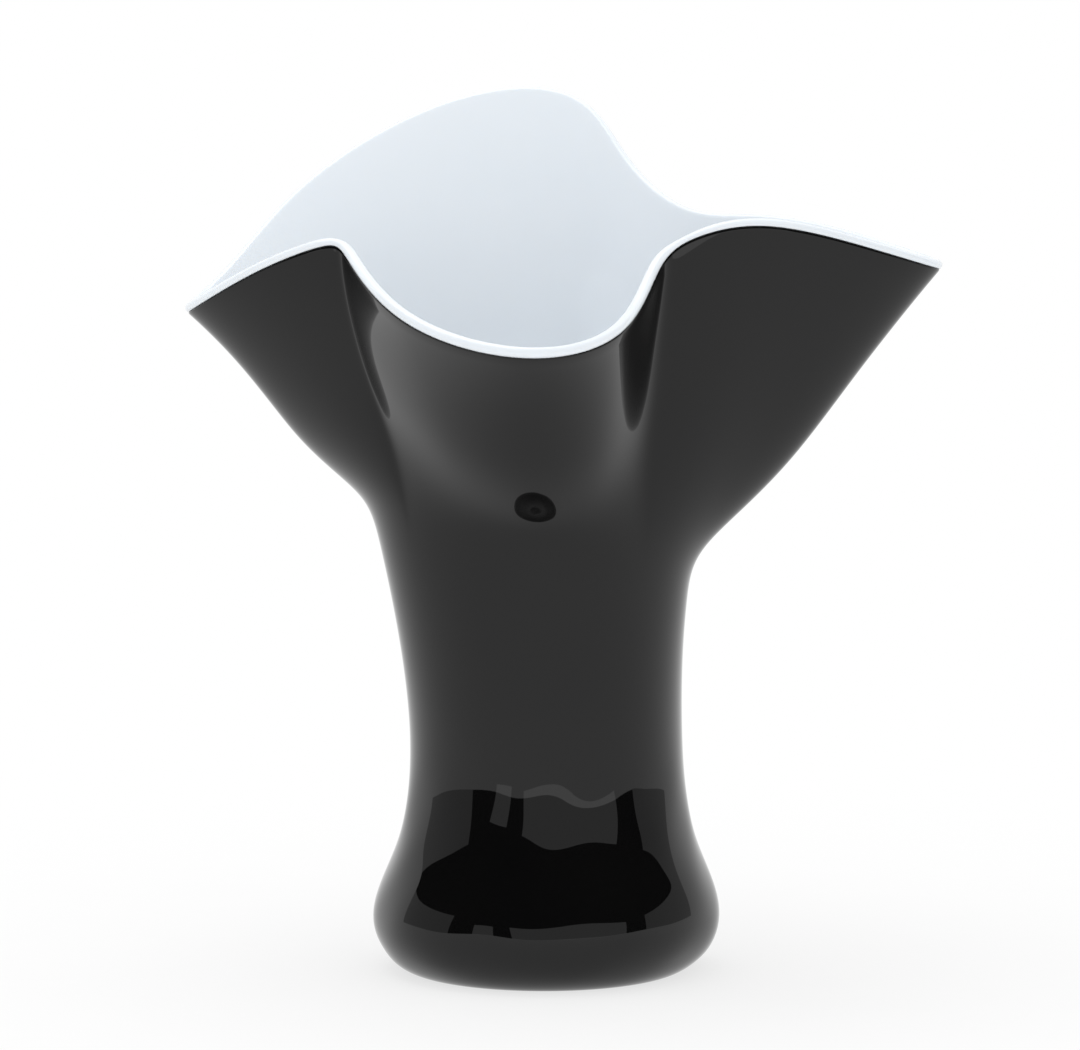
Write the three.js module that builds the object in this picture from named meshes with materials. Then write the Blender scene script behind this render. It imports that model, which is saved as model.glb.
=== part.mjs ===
import * as THREE from 'three';
import { NURBSCurve } from 'three/addons/curves/NURBSCurve.js';

// A hand-blown handkerchief vase of cased glass: black outside, opal white inside, on a solid foot.
// Millimetres and degrees, +Z up. The origin is the centre of the flat resting face, and the low
// front lobe points to -Y.

// Layers of the cased wall, from the outside in.
const BLACK_WALL = 1;
const OPAL_WALL = 2.4;
const FIT_GAP = 0.3;

// Rounded lip of opal glass, turned out over the edge of the black layer.
const LIP_RISE = 1.8;

// Foot: a gather of solid black glass, flat underneath, widest at the bulge, narrowest at the waist.
const CONTACT_RADIUS = 40;
const TOE_RUN = 5.5;
const TOE_LIFT = 1;
const FOOT_RADIUS = 52.5;
const BULGE_HEIGHT = 16.5;
const BULGE_DROP = 9;
const BULGE_RISE = 12;
const WAIST_RADIUS = 41;
const WAIST_HEIGHT = 64;
const WAIST_DROP = 26;
const FOOT_EDGE = 1.2;

// Bubble: the closed lower end of the body, let into the socket of the foot.
const FOOT_FLOOR = 20;
const NECK_LENGTH = 14;

// The hot glass settled a little towards +X around the waist.
const SWAY = 1.2;
const SWAY_HEIGHT = 55;
const SWAY_REACH = 60;

// Tube between waist and hip. It leaves the waist upright, and the knee is how tightly it turns
// out at the hip. Above the waist the wall thins to its full width over the taper height.
const TUBE_RISE = 25;
const KNEE = 14;
const TAPER_HEIGHT = 20;

// Hips, where the tube ends and the lobes flare out: eight stations, 45 degrees apart from +X, each
// given by how far it lies outside and above the hip circle.
const HIP_RADIUS = 44;
const HIP_HEIGHT = 140;
const HIPS = [
  { side: 'right', out: 0.5, rise: -12 },
  { side: 'back right', out: -2, rise: -6 },
  { side: 'back', out: 1, rise: 2 },
  { side: 'back left', out: 6, rise: 3 },
  { side: 'left', out: 8.5, rise: 4 },
  { side: 'front left', out: 2, rise: 2 },
  { side: 'front', out: -1, rise: -2 },
  { side: 'front right', out: -2, rise: -6 },
];

// Stations round the folded rim, counterclockwise from the right tip: the angle from +X, how far
// the rim lies outside the mouth circle and how far it drops below the peak. The lean is the
// wall's angle from upright at the rim, and the belly is how far it swells outwards below it.
const MOUTH_RADIUS = 90;
const PEAK_HEIGHT = 263.5;
const RIM = [
  { place: 'right tip', angle: 0, out: 29, drop: 51.5, lean: 40, belly: 7 },
  { place: 'right lobe, back', angle: 16, out: 8, drop: 43.5, lean: 30, belly: 4 },
  { place: 'right lobe, inner back', angle: 31.5, out: -13.5, drop: 38.5, lean: 16, belly: 2 },
  { place: 'back right fold', angle: 44.5, out: -27, drop: 36.5, lean: 10, belly: 0 },
  { place: 'back lobe, right foot', angle: 65, out: -24, drop: 22.5, lean: 16, belly: 2 },
  { place: 'back lobe, shoulder', angle: 79, out: -12.5, drop: 5.5, lean: 20, belly: 4 },
  { place: 'back lobe, peak', angle: 95.5, out: -3.5, drop: 0, lean: 22, belly: 4 },
  { place: 'back lobe, left', angle: 117.5, out: 0.5, drop: 9, lean: 25, belly: 4 },
  { place: 'back lobe, far left', angle: 143.5, out: 4.5, drop: 31, lean: 32, belly: 4 },
  { place: 'left lobe, back', angle: 165, out: 10.5, drop: 55, lean: 43, belly: 5 },
  { place: 'left tip', angle: 180, out: 17, drop: 64.5, lean: 48, belly: 5 },
  { place: 'left lobe, front', angle: 197, out: 1, drop: 52.5, lean: 36, belly: 4 },
  { place: 'left lobe, crest', angle: 210.5, out: -14.5, drop: 43.5, lean: 20, belly: 2 },
  { place: 'front left fold', angle: 217.5, out: -18, drop: 47.5, lean: 8, belly: 0 },
  { place: 'front lobe, left', angle: 241.5, out: -5.5, drop: 63.5, lean: 32, belly: 3 },
  { place: 'front lobe, lowest', angle: 265.5, out: 2.5, drop: 73, lean: 50, belly: 5 },
  { place: 'front lobe, right', angle: 286.5, out: -13, drop: 67, lean: 32, belly: 3 },
  { place: 'front right fold', angle: 306.5, out: -33, drop: 49.5, lean: 10, belly: 0 },
  { place: 'right lobe, crest', angle: 317, out: -28.5, drop: 40.5, lean: 12, belly: 0 },
  { place: 'right lobe, inner front', angle: 329.5, out: -15.5, drop: 37.5, lean: 18, belly: 2 },
  { place: 'right lobe, front', angle: 345.5, out: 6, drop: 43.5, lean: 30, belly: 4 },
];

// Along the flare from hip to rim: where the belly swells, and how far below the rim the lean holds.
const BELLY_SHARE = 1 / 3;
const LEAD_SHARE = 0.3;

// Facets.
const COLUMNS_PER_STATION = 4;
const WALL_ROWS = 11;
const LIP_STEPS = 4;
const BUBBLE_STEPS = 3;
const FOOT_COLUMNS = 48;
const TOE_STEPS = 4;
const SHOULDER_STEPS = 8;

// Sizes that follow from the ones above.
const LEDGE = FOOT_EDGE + FIT_GAP;
const NECK_RADIUS = WAIST_RADIUS - LEDGE;
const SEAM_TOP = WAIST_HEIGHT + FIT_GAP;
const OPAL_OUTSIDE = BLACK_WALL + FIT_GAP;
const OPAL_INSIDE = OPAL_OUTSIDE + OPAL_WALL;

const radians = THREE.MathUtils.degToRad;

// Control values of the closed cubic B-spline that passes through the given values.
function closedControls(values) {
  const passes = 60;
  let controls = values.slice();
  for (let pass = 0; pass < passes; pass += 1) {
    controls = controls.map((_, i) => {
      const before = controls.at(i - 1);
      const after = controls[(i + 1) % values.length];
      return (6 * values[i] - before - after) / 4;
    });
  }
  return controls;
}

// One closed curve for each named value of a list of stations, read at station number u.
function closedCurves(stations, keys) {
  const controls = keys.map((key) => closedControls(stations.map((station) => station[key])));
  const count = stations.length;
  return (u) => {
    const turn = ((u % count) + count) % count;
    const first = Math.floor(turn);
    const f = turn - first;
    const weights = [
      (1 - f) ** 3,
      3 * f ** 3 - 6 * f ** 2 + 4,
      -3 * f ** 3 + 3 * f ** 2 + 3 * f + 1,
      f ** 3,
    ];
    const controlNear = (list, k) => list[(first + k + count - 1) % count];
    const read = (list) => weights.reduce((sum, w, k) => sum + w * controlNear(list, k), 0) / 6;
    return Object.fromEntries(keys.map((key, i) => [key, read(controls[i])]));
  };
}

// Upright plane through the axis: a point at a radius and a height.
function inPlane(angle, radius, height) {
  return new THREE.Vector3(radius * Math.cos(angle), radius * Math.sin(angle), height);
}

// Stations with their places in millimetres.
const rimStations = RIM.map(({ angle, out, drop, lean, belly }) => {
  const { x, y, z } = inPlane(radians(angle), MOUTH_RADIUS + out, PEAK_HEIGHT - drop);
  return { x, y, z, lean, belly };
});
const hipStations = HIPS.map(({ out, rise }) => ({ radius: HIP_RADIUS + out, height: HIP_HEIGHT + rise }));

const rimAt = closedCurves(rimStations, ['x', 'y', 'z', 'lean', 'belly']);
const hipAt = closedCurves(hipStations, ['radius', 'height']);

// The wall's outer line at station u, from the seam at the waist up to the rim.
function wallLine(u) {
  const rim = rimAt(u);
  const angle = Math.atan2(rim.y, rim.x);
  const reach = Math.hypot(rim.x, rim.y);
  const hip = hipAt((angle / (2 * Math.PI)) * HIPS.length);

  const tube = new THREE.Vector2(hip.radius - WAIST_RADIUS, hip.height - SEAM_TOP - TUBE_RISE).normalize();
  const flare = new THREE.Vector2(reach - hip.radius, rim.z - hip.height);
  const outwards = new THREE.Vector2(flare.y, -flare.x).normalize();
  const lean = radians(rim.lean);
  const lead = LEAD_SHARE * flare.length();

  const controls = [
    inPlane(angle, WAIST_RADIUS, SEAM_TOP),
    inPlane(angle, WAIST_RADIUS, SEAM_TOP + TUBE_RISE),
    inPlane(angle, hip.radius - KNEE * tube.x, hip.height - KNEE * tube.y),
    inPlane(angle, hip.radius, hip.height),
    inPlane(
      angle,
      hip.radius + BELLY_SHARE * flare.x + rim.belly * outwards.x,
      hip.height + BELLY_SHARE * flare.y + rim.belly * outwards.y,
    ),
    inPlane(angle, reach - lead * Math.sin(lean), rim.z - lead * Math.cos(lean)),
    inPlane(angle, reach, rim.z),
  ];
  return new NURBSCurve(3, [0, 0, 0, 0, 1, 2, 3, 4, 4, 4, 4], controls);
}

// Point, upward direction and inward direction of the outer surface, for each row of one column.
function wallColumn(u) {
  const aside = 0.01;
  const line = wallLine(u);
  const before = wallLine(u - aside);
  const after = wallLine(u + aside);
  return Array.from({ length: WALL_ROWS + 1 }, (_, row) => {
    const t = row / WALL_ROWS;
    const up = line.getTangent(t);
    const across = after.getPoint(t).sub(before.getPoint(t)).normalize();
    const inward = new THREE.Vector3().crossVectors(up, across).normalize();
    return { point: line.getPoint(t), up, inward };
  });
}

const COLUMN_COUNT = RIM.length * COLUMNS_PER_STATION;
const columns = Array.from({ length: COLUMN_COUNT }, (_, k) => wallColumn(k / COLUMNS_PER_STATION));
const columnAngles = columns.map((column) => Math.atan2(column.at(-1).point.y, column.at(-1).point.x));

// A point of the wall, set in from the outer surface and lifted along it.
function setIn(place, inset, lift = 0) {
  const taper = 1 - THREE.MathUtils.smoothstep(place.point.z, SEAM_TOP, SEAM_TOP + TAPER_HEIGHT);
  const depth = inset > 0 ? inset + LEDGE * taper : 0;
  return place.point.clone().addScaledVector(place.inward, depth).addScaledVector(place.up, lift);
}

// Rings of the flared wall, from the seam to the rim. The lift moves the last ring alone.
function wallRings(inset, lift = 0) {
  return Array.from({ length: WALL_ROWS + 1 }, (_, row) => {
    const ringLift = row === WALL_ROWS ? lift : 0;
    return columns.map((column) => setIn(column[row], inset, ringLift));
  });
}

// Ring round the axis through one profile point, at the given angles.
function ringThrough(point, angles) {
  return angles.map((angle) => inPlane(angle, point.x, point.y));
}

// Profile of the bubble's closed end, from the pole at the bottom to the top of the straight neck.
function bubbleProfile(inset) {
  const spring = WAIST_HEIGHT - NECK_LENGTH;
  const radius = NECK_RADIUS - inset;
  const depth = spring - FOOT_FLOOR - inset;
  const round = new THREE.EllipseCurve(0, spring, radius, depth, -Math.PI / 2, 0).getPoints(BUBBLE_STEPS);
  return [new THREE.Vector2(0, spring - depth), ...round.slice(1), new THREE.Vector2(radius, SEAM_TOP)];
}

// Rings of the bubble from the pole up, in the columns of the wall.
function bubbleRings(inset) {
  const [pole, ...profile] = bubbleProfile(inset);
  return [[inPlane(0, 0, pole.y)], ...profile.map((point) => ringThrough(point, columnAngles))];
}

// How far the glass has settled towards +X at a height.
function swayAt(height) {
  const away = Math.abs(height - SWAY_HEIGHT) / SWAY_REACH;
  return SWAY * (1 - THREE.MathUtils.smoothstep(away, 0, 1));
}

// Triangles of the band between a lower and an upper ring, where the lower may be a single pole.
function band(low, high, count) {
  const triangles = [];
  for (let k = 0; k < count; k += 1) {
    const next = (k + 1) % count;
    if (low.isPole) {
      triangles.push([low.start, high.start + next, high.start + k]);
    } else {
      triangles.push([low.start + k, low.start + next, high.start + next]);
      triangles.push([low.start + k, high.start + next, high.start + k]);
    }
  }
  return triangles;
}

// Closed solid between an outer and an inner skin, each a list of rings from its pole up. Both
// skins split their cells along the same diagonal, so parallel skins stay parallel.
function solidBetween(outside, inside) {
  const count = outside.at(-1).length;
  const positions = [];
  const place = (ring) => {
    const start = positions.length / 3;
    ring.forEach((p) => positions.push(p.x + swayAt(p.z), p.y, p.z));
    return { start, isPole: ring.length === 1 };
  };
  const outer = outside.map(place);
  const inner = inside.map(place);
  const bands = (rings) => rings.slice(1).flatMap((ring, i) => band(rings[i], ring, count));
  const faces = [
    ...bands(outer),
    ...band(outer.at(-1), inner.at(-1), count),
    ...bands(inner).map(([a, b, c]) => [a, c, b]),
  ];
  const geometry = new THREE.BufferGeometry();
  geometry.setAttribute('position', new THREE.Float32BufferAttribute(positions, 3));
  geometry.setIndex(faces.flat());
  geometry.computeVertexNormals();
  return geometry;
}

// Black layer: the bubble outside, a ledge that rests on the foot, the folded wall and its edge.
function blackOverlay() {
  const outside = [...bubbleRings(0), ...wallRings(0, -FIT_GAP)];
  const inside = [...bubbleRings(BLACK_WALL).slice(0, -1), ...wallRings(BLACK_WALL, -FIT_GAP)];
  return solidBetween(outside, inside);
}

// Rings of the rounded lip, from over the black layer's outer edge to the inner face.
function lipRings() {
  const half = OPAL_INSIDE / 2;
  return Array.from({ length: LIP_STEPS }, (_, step) => {
    const turn = (Math.PI * step) / LIP_STEPS;
    const inset = half * (1 - Math.cos(turn));
    const lift = LIP_RISE * Math.sin(turn);
    return columns.map((column) => setIn(column.at(-1), inset, lift));
  });
}

// Opal layer: a cup that lies inside the black layer, with the lip turned over the black edge.
function opalLining() {
  const outside = [...bubbleRings(OPAL_OUTSIDE).slice(0, -1), ...wallRings(OPAL_OUTSIDE)];
  const inside = [...bubbleRings(OPAL_INSIDE).slice(0, -1), ...wallRings(OPAL_INSIDE)];
  return solidBetween([...outside, ...lipRings()], inside);
}

// Outer profile of the foot, from the edge of the resting face up to the waist.
function footProfile() {
  const toe = new THREE.CubicBezierCurve(
    new THREE.Vector2(CONTACT_RADIUS, 0),
    new THREE.Vector2(CONTACT_RADIUS + TOE_RUN, TOE_LIFT),
    new THREE.Vector2(FOOT_RADIUS, BULGE_HEIGHT - BULGE_DROP),
    new THREE.Vector2(FOOT_RADIUS, BULGE_HEIGHT),
  );
  const shoulder = new THREE.CubicBezierCurve(
    new THREE.Vector2(FOOT_RADIUS, BULGE_HEIGHT),
    new THREE.Vector2(FOOT_RADIUS, BULGE_HEIGHT + BULGE_RISE),
    new THREE.Vector2(WAIST_RADIUS, WAIST_HEIGHT - WAIST_DROP),
    new THREE.Vector2(WAIST_RADIUS, WAIST_HEIGHT),
  );
  return [...toe.getPoints(TOE_STEPS), ...shoulder.getPoints(SHOULDER_STEPS).slice(1)];
}

// Solid foot: flat underneath, with a socket that holds the bubble.
function foot() {
  const angles = Array.from({ length: FOOT_COLUMNS }, (_, k) => (2 * Math.PI * k) / FOOT_COLUMNS);
  const socket = bubbleProfile(-FIT_GAP);
  socket.at(-1).y = WAIST_HEIGHT;
  const [floor, ...wall] = socket;
  const outside = [[inPlane(0, 0, 0)], ...footProfile().map((point) => ringThrough(point, angles))];
  const inside = [[inPlane(0, 0, floor.y)], ...wall.map((point) => ringThrough(point, angles))];
  return solidBetween(outside, inside);
}

const BLACK_GLASS = { color: 0x0b0c0c, roughness: 0.08, metalness: 0 };
const OPAL_GLASS = { color: 0xe6ecf0, roughness: 0.12, metalness: 0 };

// A named sub-part with its own material.
function subPart(name, geometry, look) {
  const mesh = new THREE.Mesh(geometry, new THREE.MeshStandardMaterial(look));
  mesh.name = name;
  return mesh;
}

const vase = new THREE.Group();
vase.add(subPart('foot', foot(), BLACK_GLASS));
vase.add(subPart('black_overlay', blackOverlay(), BLACK_GLASS));
vase.add(subPart('opal_lining', opalLining(), OPAL_GLASS));

export default vase;
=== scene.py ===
import math

import bpy
import numpy as np
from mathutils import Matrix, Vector


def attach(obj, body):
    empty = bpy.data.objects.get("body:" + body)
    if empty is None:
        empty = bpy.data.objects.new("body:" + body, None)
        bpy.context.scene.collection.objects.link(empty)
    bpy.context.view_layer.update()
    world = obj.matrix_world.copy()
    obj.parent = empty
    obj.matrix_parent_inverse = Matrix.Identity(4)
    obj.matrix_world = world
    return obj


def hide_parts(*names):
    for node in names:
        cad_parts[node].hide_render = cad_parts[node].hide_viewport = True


# A handkerchief vase of cased glass, black outside and opal white inside, on a plain white table.
# The shape follows the same sizes as the part's source, in millimetres until the meshes are made.

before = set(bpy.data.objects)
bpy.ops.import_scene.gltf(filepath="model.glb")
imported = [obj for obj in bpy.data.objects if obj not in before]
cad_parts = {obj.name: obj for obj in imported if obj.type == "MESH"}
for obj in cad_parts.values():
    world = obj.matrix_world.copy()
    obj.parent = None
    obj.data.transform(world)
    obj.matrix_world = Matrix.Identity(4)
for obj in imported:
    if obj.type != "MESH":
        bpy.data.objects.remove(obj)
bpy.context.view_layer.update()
scene = bpy.context.scene

# Sizes

MILLIMETRE = 0.001
BLACK_WALL, OPAL_WALL, FIT_GAP = 1.0, 2.4, 0.08
CONTACT_RADIUS, TOE_RUN, TOE_LIFT = 40.0, 5.5, 1.0
FOOT_RADIUS, BULGE_HEIGHT, BULGE_DROP, BULGE_RISE = 52.5, 16.5, 9.0, 12.0
WAIST_RADIUS, WAIST_HEIGHT, WAIST_DROP, FOOT_EDGE = 41.0, 64.0, 26.0, 1.2
FOOT_FLOOR, NECK_LENGTH = 20.0, 14.0
SWAY, SWAY_HEIGHT, SWAY_REACH = 1.2, 55.0, 60.0
TUBE_RISE, KNEE, TAPER_HEIGHT = 25.0, 14.0, 20.0
BELLY_SHARE, LEAD_SHARE = 1 / 3, 0.3

# Rings of the ground face, from the middle out.
GROUND_RADII = (12.0, 24.0, 34.0, 38.5)

# Rounded edge of the black layer: its radius, and where it starts from the rim.
EDGE_RADIUS, EDGE_START = 0.9, -1.0

# Opal lip: where it starts in from the outer face, its rise, and how full its arc is.
LIP_START, LIP_RISE, LIP_FULLNESS = 0.12, 1.8, 0.8

# Hips, 45 degrees apart from +X: how far outside and above the hip circle.
HIP_RADIUS, HIP_HEIGHT = 44.0, 140.0
HIPS = np.array([(0.5, -12), (-2, -6), (1, 2), (6, 3), (8.5, 4), (2, 2), (-1, -2), (-2, -6)], float)

# Rim, counterclockwise from the right tip: angle, outside the mouth circle, drop, lean, belly.
MOUTH_RADIUS, PEAK_HEIGHT = 90.0, 263.5
RIM = np.array([
    (0, 29, 51.5, 40, 7),
    (16, 8, 43.5, 30, 4),
    (31.5, -13.5, 38.5, 16, 2),
    (44.5, -27, 36.5, 10, 0),
    (65, -24, 22.5, 16, 2),
    (79, -12.5, 5.5, 20, 4),
    (95.5, -3.5, 0, 22, 4),
    (117.5, 0.5, 9, 25, 4),
    (143.5, 4.5, 31, 32, 4),
    (165, 10.5, 55, 43, 5),
    (180, 17, 64.5, 48, 5),
    (197, 1, 52.5, 36, 4),
    (210.5, -14.5, 43.5, 20, 2),
    (217.5, -18, 47.5, 8, 0),
    (241.5, -5.5, 63.5, 32, 3),
    (265.5, 2.5, 73, 50, 5),
    (286.5, -13, 67, 32, 3),
    (306.5, -33, 49.5, 10, 0),
    (317, -28.5, 40.5, 12, 0),
    (329.5, -15.5, 37.5, 18, 2),
    (345.5, 6, 43.5, 30, 4),
], float)

# Waves of the hand-worked glass: size in mm, waves around, height in mm for each radian, start.
FOOT_WAVES = [(0.32, 3, 19, 0.6), (0.20, 5, -14, 1.9), (0.09, 9, 7, 2.0), (0.05, 13, -5, 0.5)]
TUBE_WAVES = [(0.22, 2, 22, 1.1), (0.12, 3, -17, 2.4), (0.06, 5, -37, 0.4)]

# Heights between which the foot's waves give way to the tube's, and all waves fade at ground and rim.
WAVES_CHANGE, GROUND_FADE, RIM_FADE = (40, 80), (0.5, 8), (175, 195)

# Fineness of the meshes
STATION_COLUMNS = 14
COLUMNS = len(RIM) * STATION_COLUMNS
WALL_ROWS, TOE_ROWS, SHOULDER_ROWS = 120, 16, 36
BUBBLE_ROWS, NECK_ROWS = 20, 7
EDGE_STEPS, LIP_STEPS = 5, 14

# Rows that are evened out below and above the waist, how often, and by what share at most.
ROWS_BELOW, ROWS_ABOVE, SMOOTH_PASSES, SMOOTH_SHARE = 24, 32, 60, 0.25

# The wall's surface


def closed_controls(values):
    """Controls of the closed cubic B-spline through the values."""
    n = len(values)
    matrix = np.eye(n) * 4 + np.roll(np.eye(n), 1, 0) + np.roll(np.eye(n), -1, 0)
    return np.linalg.solve(matrix, 6 * values)


def closed_curve(controls, u):
    """Points of the closed cubic B-spline at u, one unit a control."""
    n = len(controls)
    u = np.mod(u, n)
    first = np.floor(u).astype(int)
    f = u - first
    weights = [(1 - f) ** 3, 3 * f**3 - 6 * f**2 + 4, -3 * f**3 + 3 * f**2 + 3 * f + 1, f**3]
    return sum(weights[k][:, None] * controls[(first + k - 1) % n] for k in range(4)) / 6


def clamped_basis(t, count):
    """Values of the clamped cubic B-spline basis at t from 0 to 1, one row a control."""
    spans = count - 3
    knots = np.concatenate([[0] * 3, np.arange(spans + 1), [spans] * 3]).astype(float)
    x = np.clip(np.asarray(t) * spans, 0, spans - 1e-9)
    basis = [((x >= knots[i]) & (x < knots[i + 1])).astype(float) for i in range(len(knots) - 1)]
    for degree in range(1, 4):
        raised = []
        for i in range(len(basis) - 1):
            value = np.zeros_like(x)
            left = knots[i + degree] - knots[i]
            right = knots[i + degree + 1] - knots[i + 1]
            if left:
                value += (x - knots[i]) / left * basis[i]
            if right:
                value += (knots[i + degree + 1] - x) / right * basis[i + 1]
            raised.append(value)
        basis = raised
    return np.array(basis)


def smoothstep(low, high, x):
    s = np.clip((x - low) / (high - low), 0, 1)
    return s * s * (3 - 2 * s)


def wall_grid():
    """Outer face from the waist to the rim, rows by columns, and each column's angle."""
    angle, out, drop, lean, belly = RIM.T
    reach = MOUTH_RADIUS + out
    turn = np.radians(angle)
    stations = np.stack([reach * np.cos(turn), reach * np.sin(turn), PEAK_HEIGHT - drop, lean, belly], 1)
    u = np.arange(COLUMNS) / COLUMNS * len(RIM)
    x, y, z, lean, belly = closed_curve(closed_controls(stations), u).T
    turn = np.arctan2(y, x)
    reach = np.hypot(x, y)
    hips = closed_controls(HIPS + (HIP_RADIUS, HIP_HEIGHT))
    hip_r, hip_z = closed_curve(hips, turn / (2 * math.pi) * len(HIPS)).T

    tube_r, tube_z = hip_r - WAIST_RADIUS, hip_z - WAIST_HEIGHT - TUBE_RISE
    tube = np.hypot(tube_r, tube_z)
    flare_r, flare_z = reach - hip_r, z - hip_z
    flare = np.hypot(flare_r, flare_z)
    lean = np.radians(lean)
    lead = LEAD_SHARE * flare
    same = np.ones_like(reach)
    radii = np.array([
        WAIST_RADIUS * same,
        WAIST_RADIUS * same,
        hip_r - KNEE * tube_r / tube,
        hip_r,
        hip_r + BELLY_SHARE * flare_r + belly * flare_z / flare,
        reach - lead * np.sin(lean),
        reach,
    ])
    heights = np.array([
        WAIST_HEIGHT * same,
        (WAIST_HEIGHT + TUBE_RISE) * same,
        hip_z - KNEE * tube_z / tube,
        hip_z,
        hip_z + BELLY_SHARE * flare_z - belly * flare_r / flare,
        z - lead * np.cos(lean),
        z,
    ])
    basis = clamped_basis(np.linspace(0, 1, WALL_ROWS + 1), len(radii))
    r = np.einsum("kt,ku->tu", basis, radii)
    h = np.einsum("kt,ku->tu", basis, heights)
    return np.stack([r * np.cos(turn), r * np.sin(turn), h], -1), turn


def bezier(points, steps):
    t = np.linspace(0, 1, steps + 1)[:, None]
    p = np.asarray(points, float)
    return (1 - t) ** 3 * p[0] + 3 * (1 - t) ** 2 * t * p[1] + 3 * (1 - t) * t**2 * p[2] + t**3 * p[3]


def foot_profile():
    """Radius and height up the foot's outer face, from the ground to the waist."""
    toe = bezier([
        (CONTACT_RADIUS, 0),
        (CONTACT_RADIUS + TOE_RUN, TOE_LIFT),
        (FOOT_RADIUS, BULGE_HEIGHT - BULGE_DROP),
        (FOOT_RADIUS, BULGE_HEIGHT),
    ], TOE_ROWS)
    shoulder = bezier([
        (FOOT_RADIUS, BULGE_HEIGHT),
        (FOOT_RADIUS, BULGE_HEIGHT + BULGE_RISE),
        (WAIST_RADIUS, WAIST_HEIGHT - WAIST_DROP),
        (WAIST_RADIUS, WAIST_HEIGHT),
    ], SHOULDER_ROWS)
    return np.concatenate([toe, shoulder[1:-1]])


def revolve(profile, turn):
    """Rows of a profile of (radius, height) pairs, at each column's angle."""
    r, h = profile[:, :1], profile[:, 1:]
    return np.stack([r * np.cos(turn), r * np.sin(turn), np.broadcast_to(h, (len(h), len(turn)))], -1)


def smooth_rows(grid, first, last, passes):
    """Evens out the rows from first to last, most in the middle, up and down each column."""
    share = SMOOTH_SHARE * np.sin(np.linspace(0, math.pi, last - first))[:, None, None] ** 2
    for _ in range(passes):
        bend = grid[first - 1:last - 1] - 2 * grid[first:last] + grid[first + 1:last + 1]
        grid[first:last] += share * bend


def directions(grid):
    """Upward and inward unit directions at each point of a grid."""
    up = np.gradient(grid, axis=0)
    across = np.roll(grid, -1, 1) - np.roll(grid, 1, 1)
    inward = np.cross(up, across)
    up /= np.linalg.norm(up, axis=-1, keepdims=True)
    inward /= np.linalg.norm(inward, axis=-1, keepdims=True)
    return up, inward


def hand_waves(grid):
    """How far the hand-worked glass stands in or out, in millimetres."""
    turn = np.arctan2(grid[..., 1], grid[..., 0])
    z = grid[..., 2]

    def ripple(waves):
        return sum(size * np.sin(around * turn + z / rise + begin) for size, around, rise, begin in waves)

    low = 1 - smoothstep(*WAVES_CHANGE, z)
    ground = smoothstep(*GROUND_FADE, z)
    rim = 1 - smoothstep(*RIM_FADE, z)
    return (ripple(FOOT_WAVES) * low + ripple(TUBE_WAVES) * (1 - low)) * ground * rim


def sway(z):
    """How far the whole vase leans to +X at a height."""
    return SWAY * (1 - smoothstep(0, 1, np.abs(z - SWAY_HEIGHT) / SWAY_REACH))


wall, column_turn = wall_grid()
outer = np.concatenate([revolve(foot_profile(), column_turn), wall])
FOOT_ROWS = len(outer) - len(wall)
smooth_rows(outer, FOOT_ROWS - ROWS_BELOW, FOOT_ROWS + ROWS_ABOVE, SMOOTH_PASSES)
_, outer_in = directions(outer)
outer -= hand_waves(outer)[..., None] * outer_in
outer_up, outer_in = directions(outer)
wall_in, wall_up, wall = outer_in[FOOT_ROWS:], outer_up[FOOT_ROWS:], outer[FOOT_ROWS:]


def set_in(rows, inset, lift=0.0):
    """Rows of the wall, set in from the outer face and lifted along it."""
    taper = 1 - smoothstep(WAIST_HEIGHT, WAIST_HEIGHT + TAPER_HEIGHT, wall[rows, :, 2])
    depth = inset + (FOOT_EDGE + FIT_GAP) * taper
    return wall[rows] + wall_in[rows] * depth[..., None] + wall_up[rows] * lift


def bubble_profile(inset):
    """Closed lower end of the body, from its lowest ring up the straight neck, and its lowest height."""
    spring = WAIST_HEIGHT - NECK_LENGTH
    radius = WAIST_RADIUS - FOOT_EDGE - FIT_GAP - inset
    depth = spring - FOOT_FLOOR - inset
    a = np.linspace(-math.pi / 2, 0, BUBBLE_ROWS + 1)[1:]
    round_end = np.stack([radius * np.cos(a), spring + depth * np.sin(a)], 1)
    heights = np.linspace(spring, WAIST_HEIGHT, NECK_ROWS + 2)[1:-1]
    neck = np.stack([np.full(NECK_ROWS, radius), heights], 1)
    return np.concatenate([round_end, neck]), spring - depth


def closed_skin(name, rows, poles):
    """A closed solid from rows of columns, capped by a pole at each end. Makes the mesh in metres."""
    grid = np.concatenate(rows)
    grid[..., 0] += sway(grid[..., 2])
    count = grid.shape[1]
    verts = np.concatenate([grid.reshape(-1, 3), [[sway(p), 0, p] for p in poles]])
    verts *= MILLIMETRE
    index = np.arange(len(grid) * count).reshape(len(grid), count)
    after = np.roll(index, -1, 1)
    quads = np.stack([index[:-1], after[:-1], after[1:], index[1:]], -1).reshape(-1, 4)
    faces = quads.tolist()
    start = len(grid) * count
    end = start + 1
    faces += [[start, after[0, k], index[0, k]] for k in range(count)]
    faces += [[end, index[-1, k], after[-1, k]] for k in range(count)]
    mesh = bpy.data.meshes.new(name)
    mesh.from_pydata(verts.tolist(), [], faces)
    mesh.polygons.foreach_set("use_smooth", [True] * len(mesh.polygons))
    mesh.update()
    piece = bpy.data.objects.new(name, mesh)
    scene.collection.objects.link(piece)
    return piece


WHOLE = slice(0, WALL_ROWS + 1)
LAST = slice(WALL_ROWS, WALL_ROWS + 1)
BODY = slice(0, WALL_ROWS)

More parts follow.
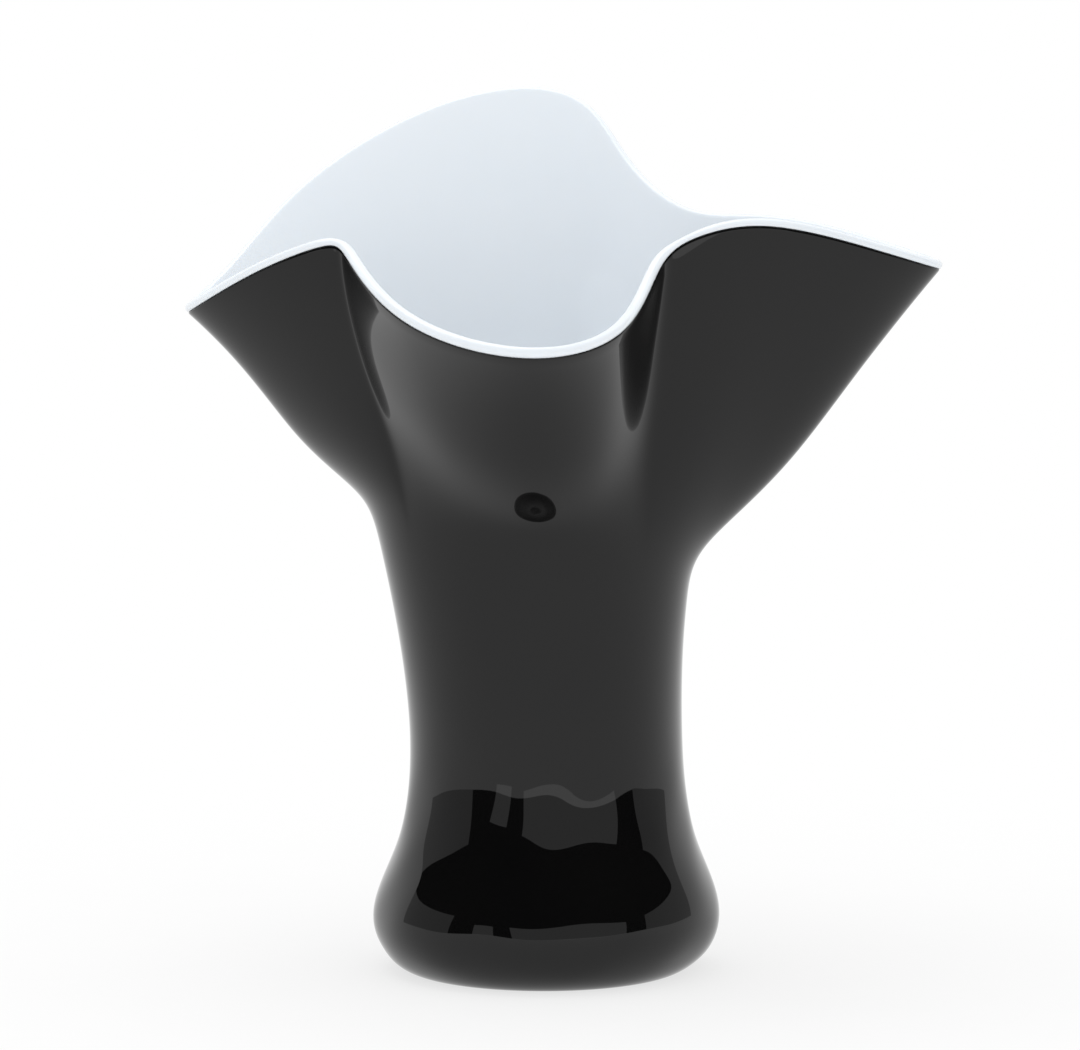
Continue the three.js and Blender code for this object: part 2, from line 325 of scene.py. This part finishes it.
# Black glass: ground face, foot, wall, rounded edge, then down the inside of the layer.
ground = revolve(np.array([(radius, 0) for radius in GROUND_RADII]), column_turn)
edge_rows = []
for k in range(EDGE_STEPS + 1):
    a = math.pi / 2 * k / EDGE_STEPS
    edge_rows.append(set_in(LAST, EDGE_RADIUS * (1 - math.cos(a)), EDGE_START + EDGE_RADIUS * math.sin(a)))
bubble, bubble_low = bubble_profile(BLACK_WALL)
black_rows = [ground, outer[:FOOT_ROWS], wall[:WALL_ROWS - 1], *edge_rows]
black_rows += [set_in(BODY, BLACK_WALL)[::-1], revolve(bubble, column_turn)[::-1]]
black = closed_skin("black_glass_body", black_rows, (0.0, bubble_low))

# Opal glass: from the bubble up the outer face, over the lip and down the inside.
OPAL_OUT = BLACK_WALL + FIT_GAP
OPAL_IN = OPAL_OUT + OPAL_WALL
out_bubble, out_low = bubble_profile(OPAL_OUT)
in_bubble, in_low = bubble_profile(OPAL_IN)
half_lip = (OPAL_IN - LIP_START) / 2
lip_rows = []
for k in range(LIP_STEPS + 1):
    a = math.pi * k / LIP_STEPS
    inset = LIP_START + half_lip * (1 - math.cos(a))
    lip_rows.append(set_in(LAST, inset, LIP_RISE * math.sin(a) ** LIP_FULLNESS))
opal_rows = [revolve(out_bubble, column_turn), set_in(WHOLE, OPAL_OUT), *lip_rows]
opal_rows += [set_in(BODY, OPAL_IN)[::-1], revolve(in_bubble, column_turn)[::-1]]
opal = closed_skin("opal_glass_lining", opal_rows, (out_low, in_low))

# Materials

WHITE = (1, 1, 1, 1)
BLACK_TONES = ((0.0018, 0.0018, 0.0020, 1), (0.0036, 0.0035, 0.0034, 1))
OPAL_TONES = ((0.79, 0.84, 0.89, 1), (0.83, 0.87, 0.91, 1))
BLACK_ROUGHNESS, OPAL_ROUGHNESS = (0.008, 0.022), (0.05, 0.11)
BLACK_IOR, OPAL_IOR = 1.4, 1.5

# The part of the fine noise's range that the roughness follows.
NOISE_RANGE = (0.3, 0.7)


def node_material(name):
    material = bpy.data.materials.new(name)
    material.use_nodes = True
    tree = material.node_tree
    tree.nodes.clear()
    output = tree.nodes.new("ShaderNodeOutputMaterial")
    return material, tree, output


def add(tree, kind, inputs=None, **settings):
    """A new node with its settings, and each input linked or given its value."""
    made = tree.nodes.new(kind)
    for key, value in settings.items():
        setattr(made, key, value)
    for key, value in (inputs or {}).items():
        socket = made.inputs[key]
        if isinstance(value, bpy.types.NodeSocket):
            tree.links.new(value, socket)
        else:
            socket.default_value = value
    return made


def noise(tree, place, scale, detail, roughness=0.5):
    inputs = {"Vector": place, "Scale": scale, "Detail": detail, "Roughness": roughness}
    return add(tree, "ShaderNodeTexNoise", inputs).outputs["Fac"]


def blend(tree, factor, tones):
    inputs = {"Factor": factor, "A": tones[0], "B": tones[1]}
    return add(tree, "ShaderNodeMix", inputs, data_type="RGBA").outputs["Result"]


def rescaled(tree, value, source, target, **settings):
    """A value mapped from its source range to a target range."""
    inputs = {
        "Value": value,
        "From Min": source[0],
        "From Max": source[1],
        "To Min": target[0],
        "To Max": target[1],
    }
    return add(tree, "ShaderNodeMapRange", inputs, **settings).outputs["Result"]


def combined(tree, operation, first, second):
    return add(tree, "ShaderNodeMath", {0: first, 1: second}, operation=operation).outputs[0]


def black_glass():
    material, tree, output = node_material("black_glass")
    place = add(tree, "ShaderNodeTexCoord").outputs["Object"]
    broad = noise(tree, place, scale=28.0, detail=2.0, roughness=0.45)
    fine = noise(tree, place, scale=240.0, detail=3.0)
    ripple = noise(tree, place, scale=90.0, detail=1.0)
    bump = add(tree, "ShaderNodeBump", {"Height": ripple, "Strength": 0.01, "Distance": 0.001})
    shader = add(tree, "ShaderNodeBsdfPrincipled", {
        "Base Color": blend(tree, broad, BLACK_TONES),
        "Roughness": rescaled(tree, fine, NOISE_RANGE, BLACK_ROUGHNESS),
        "IOR": BLACK_IOR,
        "Normal": bump.outputs["Normal"],
    })
    tree.links.new(shader.outputs["BSDF"], output.inputs["Surface"])
    return material


def opal_glass():
    material, tree, output = node_material("opal_glass")
    place = add(tree, "ShaderNodeTexCoord").outputs["Object"]
    cloud = noise(tree, place, scale=16.0, detail=3.0)
    fine = noise(tree, place, scale=200.0, detail=2.0)
    bump = add(tree, "ShaderNodeBump", {"Height": cloud, "Strength": 0.05, "Distance": 0.002})
    shader = add(tree, "ShaderNodeBsdfPrincipled", {
        "Base Color": blend(tree, cloud, OPAL_TONES),
        "Roughness": rescaled(tree, fine, NOISE_RANGE, OPAL_ROUGHNESS),
        "IOR": OPAL_IOR,
        "Subsurface Weight": 0.15,
        "Subsurface Radius": (0.9, 1.0, 1.1),
        "Subsurface Scale": 0.0015,
        "Normal": bump.outputs["Normal"],
    })
    tree.links.new(shader.outputs["BSDF"], output.inputs["Surface"])
    return material


black.data.materials.append(black_glass())
opal.data.materials.append(opal_glass())

for piece, slot in ((black, "black_glass"), (opal, "opal_glass")):
    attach(piece, "root")
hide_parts("foot", "black_overlay")
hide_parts("opal_lining")

# Studio, in metres

FLOOR_RADIUS, FLOOR_SIDES = 6.0, 96
FLOOR_TONES = ((0.88, 0.88, 0.88, 1), (0.91, 0.91, 0.91, 1))

# Near the foot the floor is partly matt, so that it keeps the shadow. It is plain white to this share
# up to SHADE_START from the middle, and wholly from SHADE_END on.
SHADE_START, SHADE_END, SHADE_SHARE = 0.10, 0.45, 0.72

# The white world is a little weaker as a light than as a background.
WORLD_LIGHT = 0.9

# Room on the camera's side, seen only in the glass: a dark backdrop with paler walls at its ends.
# Behind the vase the glass sees the same white background as the camera.
ROOM_RADIUS, DARK_TONE, WALL_TONE = 2.5, 0.012, 0.5

# How far behind the paler walls the dark one stands, degrees in a backdrop's column, and its rows.
BACKDROP_GAP, BACKDROP_STEP, BACKDROP_ROWS = 0.1, 3, 12

# The soft lamps face this point in the middle of the vase.
LAMP_AIM = Vector((0, 0, 0.13))


def seen_directly(tree):
    """1 for camera, glossy and transmission rays."""
    path = add(tree, "ShaderNodeLightPath").outputs
    first = combined(tree, "MAXIMUM", path["Is Camera Ray"], path["Is Glossy Ray"])
    return combined(tree, "MAXIMUM", first, path["Is Transmission Ray"])


def white_floor():
    """Plain white, to the camera and in the glass alike, and partly matt near the foot."""
    material, tree, output = node_material("white_table")
    place = add(tree, "ShaderNodeNewGeometry").outputs["Position"]
    away = add(tree, "ShaderNodeVectorMath", {0: place}, operation="LENGTH").outputs["Value"]
    ends = (SHADE_START, SHADE_END)
    share = rescaled(tree, away, ends, (SHADE_SHARE, 1.0), interpolation_type="SMOOTHSTEP")
    factor = combined(tree, "MULTIPLY", seen_directly(tree), share)
    grain = noise(tree, place, scale=40.0, detail=2.0)
    matt = add(tree, "ShaderNodeBsdfDiffuse", {"Color": blend(tree, grain, FLOOR_TONES)})
    plain = add(tree, "ShaderNodeEmission", {"Color": WHITE, "Strength": 1.0})
    mix = add(tree, "ShaderNodeMixShader", {0: factor, 1: matt.outputs[0], 2: plain.outputs[0]})
    tree.links.new(mix.outputs[0], output.inputs["Surface"])
    return material


def plain_mesh(name, verts, faces, material):
    mesh = bpy.data.meshes.new(name)
    mesh.from_pydata(verts, [], faces)
    mesh.materials.append(material)
    made = bpy.data.objects.new(name, mesh)
    scene.collection.objects.link(made)
    return made


def white_world():
    """White to the camera and in the glass."""
    world = bpy.data.worlds.new("white_room")
    world.use_nodes = True
    tree = world.node_tree
    tree.nodes.clear()
    output = tree.nodes.new("ShaderNodeOutputWorld")
    strength = rescaled(tree, seen_directly(tree), (0.0, 1.0), (WORLD_LIGHT, 1.0))
    sky = add(tree, "ShaderNodeBackground", {"Color": WHITE, "Strength": strength})
    tree.links.new(sky.outputs[0], output.inputs["Surface"])
    return world


def room_point(azimuth, elevation, radius):
    """A place around the vase. Azimuth 0 is towards the camera, and positive is to the camera's right."""
    a, e = math.radians(azimuth), math.radians(elevation)
    return (radius * math.cos(e) * math.sin(a), -radius * math.cos(e) * math.cos(a), radius * math.sin(e))


def glowing(name, strength):
    material, tree, output = node_material(name)
    shader = add(tree, "ShaderNodeEmission", {"Color": WHITE, "Strength": strength})
    tree.links.new(shader.outputs[0], output.inputs["Surface"])
    return material


def backdrop(name, first, last, top, strength, radius=ROOM_RADIUS):
    """A curved backdrop that stands on the floor between two azimuths and rises to an elevation."""
    across = round((last - first) / BACKDROP_STEP)
    azimuths = np.linspace(first, last, across + 1)
    elevations = [top * k / BACKDROP_ROWS for k in range(BACKDROP_ROWS + 1)]
    verts = [room_point(a, e, radius) for a in azimuths for e in elevations]
    n = len(elevations)
    corners = [n * i + k for i in range(across) for k in range(BACKDROP_ROWS)]
    faces = [(c, c + n, c + n + 1, c + 1) for c in corners]
    made = plain_mesh(name, verts, faces, glowing(name, strength))
    made.visible_camera = False
    made.visible_shadow = False
    made.visible_diffuse = False


def soft_lamp(name, place, width, height, energy):
    """A rectangular soft lamp that faces the middle of the vase."""
    lamp = bpy.data.lights.new(name, "AREA")
    lamp.shape = "RECTANGLE"
    lamp.size, lamp.size_y = width, height
    lamp.energy = energy
    made = bpy.data.objects.new(name, lamp)
    made.location = place
    made.rotation_euler = (LAMP_AIM - Vector(place)).to_track_quat("-Z", "Y").to_euler()
    made.visible_camera = False
    scene.collection.objects.link(made)


turns = np.linspace(0, 2 * math.pi, FLOOR_SIDES + 1)[:-1]
ring = [(FLOOR_RADIUS * math.cos(a), FLOOR_RADIUS * math.sin(a), 0) for a in turns]
plain_mesh("white_table", ring, [list(range(FLOOR_SIDES))], white_floor())
scene.world = white_world()

backdrop("dark_room", -110, 110, 90, DARK_TONE, ROOM_RADIUS + BACKDROP_GAP)
backdrop("left_wall", -110, -65, 20, WALL_TONE)
backdrop("right_wall", 72, 110, 16, WALL_TONE)

# Two windows in front and a soft lamp overhead.
soft_lamp("window_right", room_point(16, 10, 0.9), width=1.3, height=0.3, energy=0.8)
soft_lamp("window_left", room_point(-38, 7, 0.9), width=0.22, height=0.2, energy=0.09)
soft_lamp("overhead", (-0.25, 0.1, 1.5), width=1.2, height=0.9, energy=6.0)

# Camera and colour

FOCAL_LENGTH, SENSOR_WIDTH = 166.667, 36.0
CAMERA_PLACE, CAMERA_PITCH = (-0.0012, -1.5, 0.2724), 5.24
CLIP_START, CLIP_END = 0.05, 50.0

camera = bpy.data.cameras.new("camera")
camera.lens, camera.sensor_width, camera.sensor_fit = FOCAL_LENGTH, SENSOR_WIDTH, "AUTO"
camera.clip_start, camera.clip_end = CLIP_START, CLIP_END
eye = bpy.data.objects.new("camera", camera)
eye.location = CAMERA_PLACE
eye.rotation_euler = (math.radians(90 - CAMERA_PITCH), 0, 0)
scene.collection.objects.link(eye)
scene.camera = eye
scene.view_settings.view_transform = "Standard"

bpy.context.view_layer.update()
